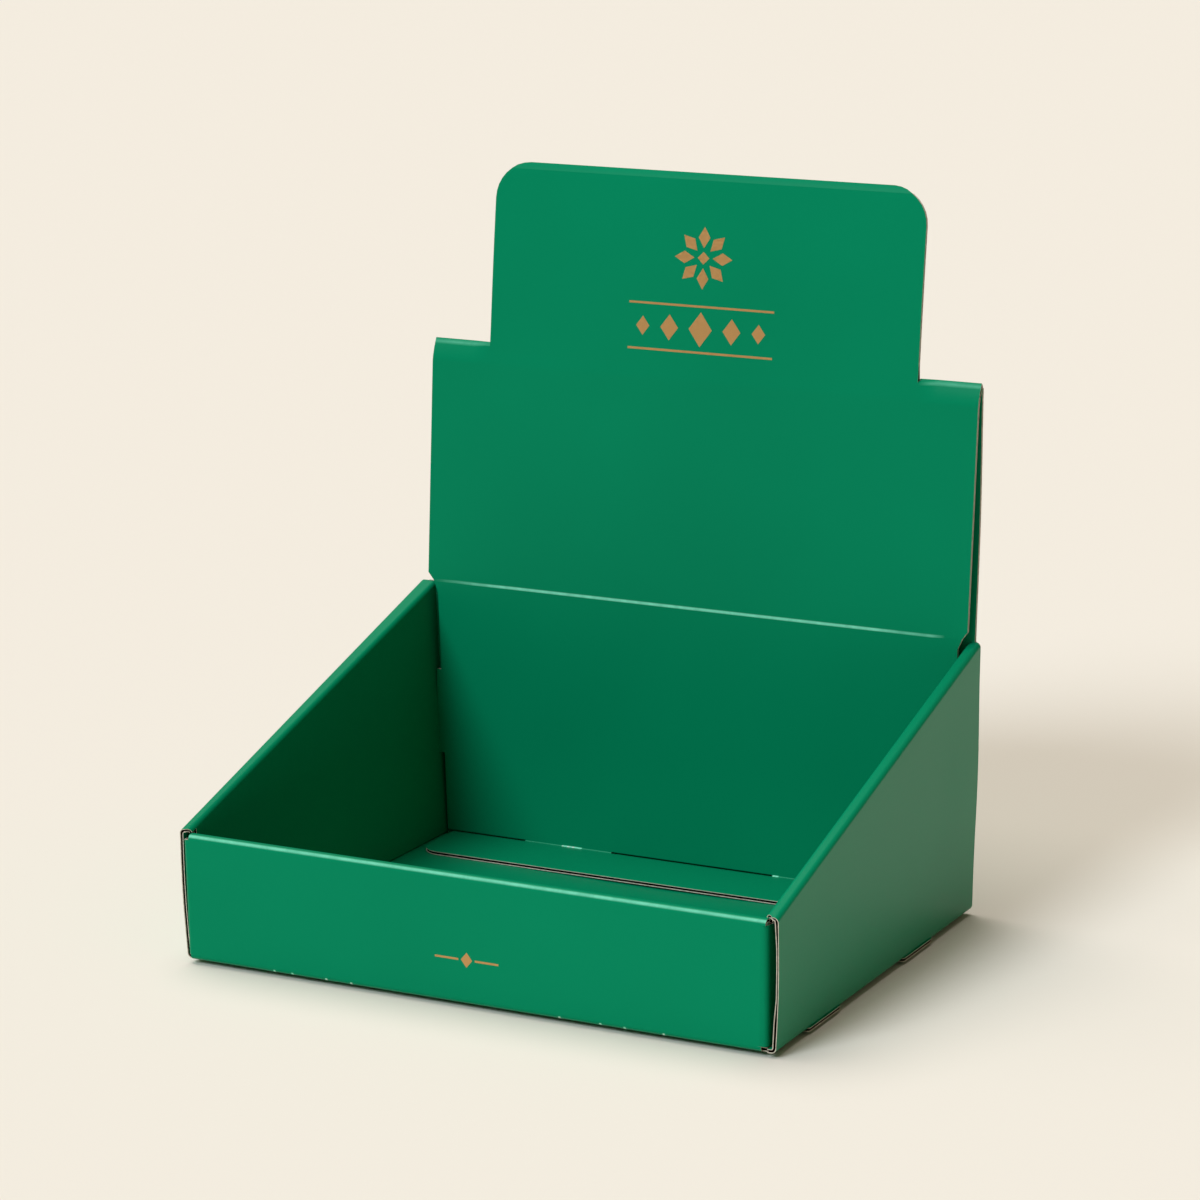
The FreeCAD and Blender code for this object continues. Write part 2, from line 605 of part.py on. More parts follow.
main()
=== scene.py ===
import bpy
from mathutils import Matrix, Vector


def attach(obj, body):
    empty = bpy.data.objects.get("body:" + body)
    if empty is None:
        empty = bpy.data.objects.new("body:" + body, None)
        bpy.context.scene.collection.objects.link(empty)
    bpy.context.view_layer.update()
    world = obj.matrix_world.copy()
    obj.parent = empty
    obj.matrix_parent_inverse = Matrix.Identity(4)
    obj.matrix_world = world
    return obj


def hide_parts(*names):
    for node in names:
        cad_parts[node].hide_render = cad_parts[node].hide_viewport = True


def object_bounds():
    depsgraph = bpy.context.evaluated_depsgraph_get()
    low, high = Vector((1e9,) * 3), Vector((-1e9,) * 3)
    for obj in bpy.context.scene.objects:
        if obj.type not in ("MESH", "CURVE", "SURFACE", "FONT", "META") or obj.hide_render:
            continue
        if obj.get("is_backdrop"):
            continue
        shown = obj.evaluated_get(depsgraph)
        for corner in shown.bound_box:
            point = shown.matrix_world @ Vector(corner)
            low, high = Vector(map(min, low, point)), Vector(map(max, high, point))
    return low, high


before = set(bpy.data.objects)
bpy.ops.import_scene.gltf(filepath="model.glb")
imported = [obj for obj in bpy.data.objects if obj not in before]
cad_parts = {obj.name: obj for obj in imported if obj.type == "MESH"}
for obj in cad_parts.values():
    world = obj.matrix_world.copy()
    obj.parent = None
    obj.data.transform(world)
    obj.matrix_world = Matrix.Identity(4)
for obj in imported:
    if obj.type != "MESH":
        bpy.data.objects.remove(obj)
CAD_BOX = [list(corner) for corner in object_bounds()]

import math

import bmesh
import bpy
from mathutils import Matrix, Vector

bl_info = {
    "name": "Folded display box",
    "version": (1, 0, 0),
    "blender": (4, 5, 0),
    "location": "View3D > Sidebar > Display box",
    "description": "Folds a printed corrugated counter tray with a tall back, and sets its stage",
    "category": "Add Mesh",
}

BODY = "root"
NODE = "display_box"
MM = 0.001


def cad_size(axis):
    """The CAD model's size along an axis, in millimetres."""
    low, high = CAD_BOX
    return round((high[axis] - low[axis]) / MM, 1)


def length(name, text, default):
    return bpy.props.FloatProperty(name=name, description=text, default=default * MM,
                                   unit="LENGTH")


def light(name, text, default):
    return bpy.props.FloatProperty(name=name, description=text, default=default)


def hex_colour(name, text, default):
    return bpy.props.StringProperty(name=name, description=text, default=default)


class BoxSizes(bpy.types.PropertyGroup):
    width: length("Width", "Over the side walls at the table", 250.0)
    depth: length("Depth", "Front face to rear face", cad_size(1))
    front_height: length("Front height", "Table to the top of the front wall", 50.5)
    rear_height: length("Rear height", "Table to the top of a side wall at the rear", 111.5)
    shoulder_height: length("Shoulder height", "Table to the folds at the shoulders", 218.0)
    overall_height: length("Overall height", "Table to the top of the header before it curls",
                           cad_size(2) + 0.5)
    header_width: length("Header width", "Width of the raised header", 192.5)
    header_corner: length("Header corner", "Radius of the header's top corners", 15.0)
    header_lean: length("Header lean", "How far the header's top leans back", 6.9)
    board: length("Board", "Thickness of the board", 1.5)
    liner: length("Liner", "Thickness of each paper face of the board", 0.26)
    flute_set: length("Flute set", "How far the flutes lie back in a cut edge", 0.45)
    flute_pitch: length("Flute pitch", "From one flute to the next", 3.4)
    fold: length("Fold", "Radius of a fold at the middle of the board", 1.25)
    corner_fold: length("Corner fold", "The same for the upright corner folds", 2.25)
    front_wall: length("Front wall", "Thickness of the rolled-over front wall", 5.0)
    wall_rise: length("Wall rise", "How far the side walls stand above the front", 1.2)
    side_strip: length("Side strip", "Width of the strip along a side wall's top", 5.5)
    side_spread: length("Side spread", "Inner side ply, further in at the floor", 2.6)
    left_lean_front: length("Left lean, front", "Left wall leans out at its front top", 3.7)
    left_lean_rear: length("Left lean, rear", "Left wall leans out at its rear top", 6.1)
    right_lean: length("Right lean", "Right wall leans out at its rear top", 0.2)
    wall_bow: length("Wall bow", "Outer side ply bows out at its two ends", 0.6)
    foot_front: length("Foot front", "Floor's middle to the foot flap's front edge", 66.05)
    foot_width: length("Foot width", "Width of the flap that lies on the floor", 226.0)
    slit: length("Slit", "Slit in the middle of that flap's crease", 74.5)
    bridge: length("Bridge", "Crease left whole beside the middle slit", 41.0)
    stand_off: length("Stand-off", "Bottom folds off the table; the floor bows down to it", 2.0)
    front_light: light("Front light", "Soft light from the front left", 1.68)
    top_light: light("Top light", "Very soft light from overhead, a little to the left", 2.02)
    fill_light: light("Fill light", "Even light from all round", 0.155)


class BoxFinish(bpy.types.PropertyGroup):
    print_green: hex_colour("Print", "Green ink on both faces of the board", "#02865C")
    # Pale ink on the folds: partly stretch of the ink, partly a painted highlight.
    stretched_ink_and_highlight: hex_colour("Crease", "Where a fold stretches the ink", "#8AECC8")
    crack_white: hex_colour("Crack", "Bare paper in the cracks of a crease", "#D5E4D6")
    liner_kraft: hex_colour("Liner", "Cut edge of the paper faces", "#DDD3C0")
    # The flute paper's kraft is darkened as painted shade, and the hollows are a near-black
    # painted shade.
    flute_kraft_and_painted_shade: hex_colour("Flutes", "Fluted paper between the faces", "#241B10")
    hollow_painted_shade: hex_colour("Flute hollows", "Hollows between the flutes", "#050302")
    foil_gold: hex_colour("Foil", "Hot-stamped foil of the ornaments", "#C99B62")
    floor: hex_colour("Floor", "Seamless paper that the box stands on", "#EDE6DA")


def mm(name):
    return getattr(bpy.context.scene.display_box_sizes, name) / MM


def finish(name):
    """A colour of the finish as linear red, green, blue and alpha."""
    text = getattr(bpy.context.scene.display_box_finish, name)
    channels = [int(text[i:i + 2], 16) / 255 for i in (1, 3, 5)]
    return [c / 12.92 if c <= 0.04045 else ((c + 0.055) / 1.055) ** 2.4 for c in channels] + [1]


# Folding. A piece is folded in millimetres, in edit mode, and shrunk to metres at the end.

def start_board(name, low, high, height):
    """A flat rectangle of board, left in edit mode."""
    if bpy.context.object and bpy.context.object.mode == "EDIT":
        bpy.ops.object.mode_set(mode="OBJECT")
    bpy.ops.object.select_all(action="DESELECT")
    bpy.ops.mesh.primitive_plane_add(size=1, location=(0, 0, 0))
    piece = bpy.context.object
    piece.name = name
    bpy.ops.object.mode_set(mode="EDIT")
    bpy.ops.transform.resize(value=(high[0] - low[0], high[1] - low[1], 1))
    bpy.ops.transform.translate(value=((low[0] + high[0]) / 2, (low[1] + high[1]) / 2, height))
    return piece


def pick(kind, where):
    """Selects the verts, edges or faces whose middle passes a test; tells how many."""
    bpy.ops.mesh.select_mode(type=kind)
    bpy.ops.mesh.select_all(action="DESELECT")
    data = bpy.context.object.data
    mesh = bmesh.from_edit_mesh(data)
    items = {"VERT": mesh.verts, "EDGE": mesh.edges, "FACE": mesh.faces}[kind]
    found = 0
    for item in items:
        points = [item.co] if kind == "VERT" else [vert.co for vert in item.verts]
        if where(sum(points, Vector()) / len(points)):
            item.select_set(True)
            found += 1
    mesh.select_flush_mode()
    bmesh.update_edit_mesh(data)
    return found


def need(kind, where, what):
    if not pick(kind, where):
        raise RuntimeError(f"nothing to pick for {what}")


def near(value, target, reach=0.05):
    return abs(value - target) < reach


def follow(points):
    """Extrudes the picked edges along a section of the fold, given in Y and Z."""
    for (y, z), (next_y, next_z) in zip(points, points[1:]):
        step = (0, next_y - y, next_z - z)
        bpy.ops.mesh.extrude_edges_move(TRANSFORM_OT_translate={"value": step})


def cut(where, place, normal, drop_outer=True):
    """Cuts the picked faces along a plane, and drops what lies on the normal's side."""
    place, normal = Vector(place), Vector(normal).normalized()
    if pick("FACE", where):
        bpy.ops.mesh.bisect(plane_co=place, plane_no=normal)
    if drop_outer:
        drop(lambda p: where(p) and (p - place).dot(normal) > 0.001)


def score(where, axis, *places):
    """Cuts the picked faces across an axis, and keeps both sides."""
    for place in places:
        point, normal = [0, 0, 0], [0, 0, 0]
        point[axis], normal[axis] = place, 1
        cut(where, point, normal, drop_outer=False)


def trim(where, low, high):
    """Trims the picked upright faces to an edge from a low to a high point in X and Z."""
    side = 1 if low[0] > 0 else -1
    normal = (side * (high[1] - low[1]), 0, -side * (high[0] - low[0]))
    cut(where, (low[0], 0, low[1]), normal)


def trim_ends(where, left, right):
    cut(where, (left, 0, 0), (-1, 0, 0))
    cut(where, (right, 0, 0), (1, 0, 0))


def drop(where):
    if pick("FACE", where):
        bpy.ops.mesh.delete(type="FACE")


def evenly(low, high, step):
    count = max(2, round((high - low) / step))
    return [low + (high - low) * i / count for i in range(1, count)]


def move(where, step, what="a move"):
    need("VERT", where, what)
    bpy.ops.transform.translate(value=step)


def push(where, step, reach):
    """Pushes the picked points, and less and less of the board around them."""
    need("VERT", where, "a push")
    bpy.ops.transform.translate(value=step, use_proportional_edit=True,
                                use_proportional_connected=True,
                                proportional_edit_falloff="SMOOTH", proportional_size=reach)


def round_fold(where, radius, what):
    need("EDGE", where, what)
    bpy.ops.mesh.bevel(offset=radius, offset_type="OFFSET", segments=5, profile=0.5,
                       affect="EDGES", clamp_overlap=True)


def round_corner(where, radius, what):
    need("VERT", where, what)
    bpy.ops.mesh.bevel(offset=radius, offset_type="OFFSET", segments=8, profile=0.5,
                       affect="VERTICES", clamp_overlap=True)


def wear_and_highlight(where, amount):
    """Notes how much the ink pales at the picked points, partly from stretch of the print and
    partly as a painted highlight.
    """
    data = bpy.context.object.data
    mesh = bmesh.from_edit_mesh(data)
    if not mesh.verts.layers.float.get("crease"):
        mesh.verts.layers.float.new("crease")
    layer = mesh.verts.layers.float["crease"]
    for vert in mesh.verts:
        if where(vert.co):
            vert[layer] = amount
    bmesh.update_edit_mesh(data)


def make_board(piece, materials, crushed=None):
    """Gives the folded sheet its thickness, and its cut edges two paper faces with the
    flutes lying back between them. The points of a crushed edge move by a step."""
    bpy.ops.mesh.select_mode(type="VERT")
    bpy.ops.mesh.select_all(action="SELECT")
    bpy.ops.mesh.remove_doubles(threshold=0.01)
    bpy.ops.mesh.normals_make_consistent(inside=False)
    bpy.ops.object.mode_set(mode="OBJECT")
    for material in materials:
        piece.data.materials.append(material)
    one_face = len(piece.data.vertices)
    solid = piece.modifiers.new("board", "SOLIDIFY")
    solid.thickness = mm("board")
    solid.offset = 0
    solid.use_even_offset = True
    solid.material_offset_rim = 1
    bpy.ops.object.modifier_apply(modifier=solid.name)
    depth = piece.data.attributes.new("board_depth", "FLOAT", "POINT")
    for i, value in enumerate(depth.data):
        value.value = 0.0 if i < one_face else 1.0
    bpy.ops.object.mode_set(mode="EDIT")
    bpy.ops.mesh.select_mode(type="FACE")
    bpy.ops.mesh.select_all(action="DESELECT")
    mesh = bmesh.from_edit_mesh(piece.data)
    for face in mesh.faces:
        face.select_set(face.material_index == 1)
    bmesh.update_edit_mesh(piece.data)
    bpy.ops.mesh.inset(thickness=mm("liner"), depth=0, use_even_offset=True)
    piece.active_material_index = 2
    bpy.ops.object.material_slot_assign()
    bpy.ops.mesh.extrude_region_shrink_fatten(
        TRANSFORM_OT_shrink_fatten={"value": -mm("flute_set")})
    if crushed:
        move(*crushed, "the crushed edge")
    bpy.ops.mesh.select_all(action="SELECT")
    bpy.ops.transform.translate(value=(0, 0, mm("stand_off")))
    shrink_to_metres()
    bpy.ops.object.shade_smooth_by_angle(angle=math.radians(35))
    even = piece.modifiers.new("even_light", "WEIGHTED_NORMAL")
    even.keep_sharp = True
    bpy.ops.object.modifier_apply(modifier=even.name)
    place_piece(piece)


def shrink_to_metres():
    bpy.ops.mesh.select_all(action="SELECT")
    bpy.ops.transform.resize(value=(MM, MM, MM), center_override=(0, 0, 0))
    bpy.ops.object.mode_set(mode="OBJECT")


def place_piece(piece):
    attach(piece, BODY)
    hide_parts(NODE)


# Materials. A pattern is given by the real size in millimetres of one of its lumps or waves.

# At scale 1 a Noise Texture's lumps are a metre long, and a Wave Texture's waves this much.
WAVE_AT_SCALE_1 = 0.314
# The colour sockets of a Mix node: its amount, its two colours, and its result.
AMOUNT, FIRST, SECOND, MIXED = 0, 6, 7, 2

INK_CLOUD = 90.9    # the ink lies heavier and lighter over about a hand's width
RUBBED_INK = 4.167  # the ink rubs off a fold in patches a little longer than a flute
CRACK_GAP = 2.381   # a crack is whole over somewhat less than a flute
# Real paper's grain is about 0.3 mm and its fibres are finer still. Neither would show in
# the render, so both are drawn as coarse as they need to be.
PAPER_GRAIN = 1.111
CUT_FIBRE = 1.4286
FOIL_GRAIN = 0.7143


def per_lump(size):
    """Scale of a noise whose lumps have a size in millimetres."""
    return 1 / (size * MM)


def fill(tree, node, inputs):
    """Gives inputs, by their names or in the node's own order, a value or a link."""
    for key, item in inputs.items() if isinstance(inputs, dict) else enumerate(inputs):
        if isinstance(item, bpy.types.NodeSocket):
            tree.links.new(item, node.inputs[key])
        else:
            node.inputs[key].default_value = item


def add_node(tree, kind, inputs=(), output=0, **settings):
    """Adds a node with its settings, values and links, and returns one of its outputs."""
    node = tree.nodes.new(kind)
    for name, setting in settings.items():
        setattr(node, name, setting)
    fill(tree, node, inputs)
    return node.outputs[output]


def new_material(name):
    material = bpy.data.materials.new(name)
    material.use_nodes = True
    return material, material.node_tree, material.node_tree.nodes["Principled BSDF"]


def varnished_print(name, across):
    """Printed clay-coated paper under a satin varnish. The ink is even, with a faint
    cloudiness. The flutes under it show as a hardly seen washboard. It pales and cracks
    where a fold stretches it, the paling being partly a painted highlight on the folds,
    and its varnish glances at a low angle."""
    material, tree, shader = new_material(name)
    place = add_node(tree, "ShaderNodeTexCoord", output="Object")
    cloud = add_node(tree, "ShaderNodeTexNoise", {"Vector": place, "Scale": per_lump(INK_CLOUD)})
    clouded = add_node(tree, "ShaderNodeMapRange", (cloud, 0.3, 0.7, 0.96, 1.03))
    ink = add_node(tree, "ShaderNodeMix",
                   {AMOUNT: 1.0, FIRST: finish("print_green"), SECOND: clouded},
                   MIXED, data_type="RGBA", blend_type="MULTIPLY")
    # The crease attribute carries the ink's stretch and a painted highlight together.
    worn_and_highlit = add_node(tree, "ShaderNodeAttribute", output="Fac", attribute_name="crease")
    patches = add_node(tree, "ShaderNodeTexNoise",
                       {"Vector": place, "Scale": per_lump(RUBBED_INK), "Detail": 3.0})
    rubbed = add_node(tree, "ShaderNodeMapRange", (patches, 0.35, 0.65, 0.75, 1.0))
    pulled_and_highlit = add_node(tree, "ShaderNodeMath", (worn_and_highlit, 1.0), operation="MINIMUM")
    stretched_and_highlit = add_node(tree, "ShaderNodeMath", (pulled_and_highlit, rubbed), operation="MULTIPLY")
    creased_and_highlit = add_node(tree, "ShaderNodeMix",
                       {AMOUNT: stretched_and_highlit, FIRST: ink, SECOND: finish("stretched_ink_and_highlight")},
                       MIXED, data_type="RGBA")
    breaks = add_node(tree, "ShaderNodeTexNoise",
                      {"Vector": place, "Scale": per_lump(CRACK_GAP), "Detail": 1.0})
    gaps = add_node(tree, "ShaderNodeMapRange", (breaks, 0.5, 0.56, 0.0, 1.0))
    burst = add_node(tree, "ShaderNodeMath", (worn_and_highlit, 1.2), operation="GREATER_THAN")
    cracks = add_node(tree, "ShaderNodeMath", (gaps, burst), operation="MULTIPLY")
    cracked = add_node(tree, "ShaderNodeMix",
                       {AMOUNT: cracks, FIRST: creased_and_highlit, SECOND: finish("crack_white")},
                       MIXED, data_type="RGBA")
    washboard = add_node(tree, "ShaderNodeTexWave",
                         {"Vector": place, "Scale": WAVE_AT_SCALE_1 / (mm("flute_pitch") * MM)},
                         "Fac", bands_direction=across)
    ribs = add_node(tree, "ShaderNodeMath", (washboard, 0.5), operation="MULTIPLY")
    grain = add_node(tree, "ShaderNodeTexNoise", {"Vector": place, "Scale": per_lump(PAPER_GRAIN)})
    relief = add_node(tree, "ShaderNodeMath", (ribs, grain), operation="ADD")
    bump = add_node(tree, "ShaderNodeBump",
                    {"Height": relief, "Strength": 0.3, "Distance": 0.02 * MM}, "Normal")
    glance = add_node(tree, "ShaderNodeLayerWeight", {"Blend": 0.5}, "Facing")
    sheen = add_node(tree, "ShaderNodeMapRange", (glance, 0.35, 0.62, 0.04, 0.152))
    fill(tree, shader, {"Base Color": cracked, "Normal": bump, "Specular IOR Level": sheen,
                        "Roughness": 0.34, "IOR": 1.45})
    return material


def cut_liner(name):
    """Cut paper face of the board: pale brown, dull and fibrous."""
    material, tree, shader = new_material(name)
    place = add_node(tree, "ShaderNodeTexCoord", output="Object")
    fibre = add_node(tree, "ShaderNodeTexNoise",
                     {"Vector": place, "Scale": per_lump(CUT_FIBRE), "Detail": 3.0})
    shade = add_node(tree, "ShaderNodeMapRange", (fibre, 0.3, 0.7, 0.7, 1.1))
    paper = add_node(tree, "ShaderNodeMix",
                     {AMOUNT: 1.0, FIRST: finish("liner_kraft"), SECOND: shade},
                     MIXED, data_type="RGBA", blend_type="MULTIPLY")
    fill(tree, shader, {"Base Color": paper, "Roughness": 0.9, "Specular IOR Level": 0.2})
    return material


def cut_flutes(name, along):
    """Fluted paper seen in a cut edge: a brown wave from one face to the other, its kraft
    darkened as painted shade, and hollows painted near-black as painted shade. An edge that
    runs along the flutes shows one flank of a flute instead."""
    material, tree, shader = new_material(name)
    place = add_node(tree, "ShaderNodeTexCoord", output="Object")
    run = add_node(tree, "ShaderNodeVectorMath", (place, along), "Value", operation="DOT_PRODUCT")
    turn = 2 * math.pi / (mm("flute_pitch") * MM)
    angle = add_node(tree, "ShaderNodeMath", (run, turn), operation="MULTIPLY")
    wave = add_node(tree, "ShaderNodeMath", (angle,), operation="SINE")
    height = add_node(tree, "ShaderNodeMath", (wave, 0.45, 0.5), operation="MULTIPLY_ADD")
    depth = add_node(tree, "ShaderNodeAttribute", output="Fac", attribute_name="board_depth")
    above = add_node(tree, "ShaderNodeMath", (depth, height), operation="SUBTRACT")
    away = add_node(tree, "ShaderNodeMath", (above,), operation="ABSOLUTE")
    flute = add_node(tree, "ShaderNodeMapRange", (away, 0.05, 0.14, 1.0, 0.0))
    fibre = add_node(tree, "ShaderNodeTexNoise",
                     {"Vector": place, "Scale": per_lump(CUT_FIBRE), "Detail": 3.0})
    shade = add_node(tree, "ShaderNodeMapRange", (fibre, 0.3, 0.7, 0.75, 1.1))
    paper = add_node(tree, "ShaderNodeMix",
                     {AMOUNT: 1.0, FIRST: finish("flute_kraft_and_painted_shade"), SECOND: shade},
                     MIXED, data_type="RGBA", blend_type="MULTIPLY")
    # Near-black painted shade fills the hollows between the flute paper, which is itself darkened
    # as painted shade.
    edge = add_node(tree, "ShaderNodeMix",
                    {AMOUNT: flute, FIRST: finish("hollow_painted_shade"), SECOND: paper},
                    MIXED, data_type="RGBA")
    fill(tree, shader, {"Base Color": edge, "Roughness": 0.95, "Specular IOR Level": 0.0})
    return material


def stamped_foil():
    """Hot-stamped metal foil: a warm, soft mirror, grained by the paper under it."""
    material, tree, shader = new_material("hot_stamped_gold_foil")
    place = add_node(tree, "ShaderNodeTexCoord", output="Object")
    grain = add_node(tree, "ShaderNodeTexNoise", {"Vector": place, "Scale": per_lump(FOIL_GRAIN)})
    dulled = add_node(tree, "ShaderNodeMapRange", (grain, 0.35, 0.65, 0.3, 0.5))
    bump = add_node(tree, "ShaderNodeBump",
                    {"Height": grain, "Strength": 0.4, "Distance": 0.03 * MM}, "Normal")
    fill(tree, shader, {"Base Color": finish("foil_gold"), "Metallic": 0.85,
                        "Roughness": dulled, "Normal": bump})
    return material


def seamless_paper():
    """Plain matt studio paper, pale and warm."""
    material, tree, shader = new_material("seamless_paper")
    fill(tree, shader, {"Base Color": finish("floor"), "Roughness": 1.0,
                        "Specular IOR Level": 0.0})
    return material


# Operators. These places on the folded sheet, in millimetres, aren't for a user to change.

STRIP_ENDS = (-127.2, 123.2)  # outermost cuts of the middle strip, left and right
FOOT_GAP = 0.2                # floor to the flap that lies on it
CREASE_IN = 2.7               # rear ply to that flap's crease
PLY_GAP = 3.35                # rear ply to the front ply of the back
RIDGE = 114.4                 # height of the cracked crease across the top of the inner back
RIDGE_IN = 5.5                # rear ply to that crease
RIDGE_PALE_INK_REACH = 0.75            # half width of the board that its pale ink reaches, part stretch and part painted highlight
BEVEL = RIDGE + 2.9           # where the widening above that crease ends
BEND = 208.5                  # where the front ply starts to curl over to the shoulders
# The front ply's curl from there: how far back and up.
CURL = ((0.3, 2.0), (0.8, 3.9), (1.35, 5.6), (1.95, 7.1), (2.35, 8.1))
ROLL_END = 1.9                # lower edge of the front wall's inner ply
TAB = (38.0, 75.0)            # side tabs of the inner back, low and high
NOTCH = 109.7                 # where the inner back widens to the ridge
FOOT_CORNER = 9.0             # radius of the foot flap's corners
FLOOR_FOLD = 2.2              # top of the folds that come up from the floor
RIM_FOLD = 1.45               # how far the fold over the front wall reaches down
FLAP_TOP = 107.0              # top of the corner flaps at the rear
WALL_TOP = 112.5              # where the rear stands clear of the side walls
FLOOR_EDGE = 121.25           # middle of the box to the floor's side edges
FRONT_FOOT = (-123.4, 119.3)  # ends of the fold under the front wall, left and right
FRONT_RIM = (-124.0, 120.2)   # ends of the fold over it
FRONT_INNER = 117.2           # middle of the box to the ends of the wall's inner ply
CORNER_FACE = 122.45          # middle of the box to the rear corner flaps
FRONT_CORNERS = (-122.65, 118.1)  # where the front's corner folds start, left and right
# Radius of each of those two folds, and how far its flap is tucked in further.
LEFT_CORNER, RIGHT_CORNER = (1.3, 1.7), (2.0, 0.6)
FRONT_FLAPS, REAR_FLAPS = 48.0, 54.0  # how far the corner flaps reach in
# How far the corner flaps lean with the walls that hold them.
RIGHT_FLAP_FOOT, RIGHT_FLAP_TOP, LEFT_FLAP_TOP, REAR_LEFT_FLAP_TOP = 0.9, 1.5, -1.8, -5.2
SILL = 142.5                  # foot of the header's opening in the rear ply

# Wear of the print and painted highlight on the folds, in one measure: from 0 to 1 where the ink
# pales, and over 1.2 where it cracks.
CRACKED = 2.0
FOOT_CRACKS = ((-60, -52), (38.2, 39.4), (76.2, 77.4))
FRONT_NICKS = (-86, -78, -63, -52, 37, 54, 64, 80)
# Along the ridge the paling is partly stretch of the ink and partly a painted highlight, strongest
# in the middle.
RIDGE_WEAR_AND_HIGHLIGHT = ((-111, -84, 0.35), (-86, 81, 1.15), (91, 107, 0.6))

LEFT_SET_BACK, RIGHT_SET_BACK = 1.5, 0.75  # front face to the front end of each side wall
WALL_BACK_GAP = 0.8           # rear end of a side wall to the rear face
WALL_FOOT = 2.65              # how far a side wall's lower fold reaches in over the floor
WALL_END = 2.0                # lower edge of a side wall's inner ply
LIPS = ((-71.4, -40.0), (24.8, 56.0))  # front and rear end of each lip beside the right wall
LIP_REACH, LIP_CORNER = 3.2, 1.2


class BoxOperator(bpy.types.Operator):
    bl_options = {"REGISTER", "UNDO"}


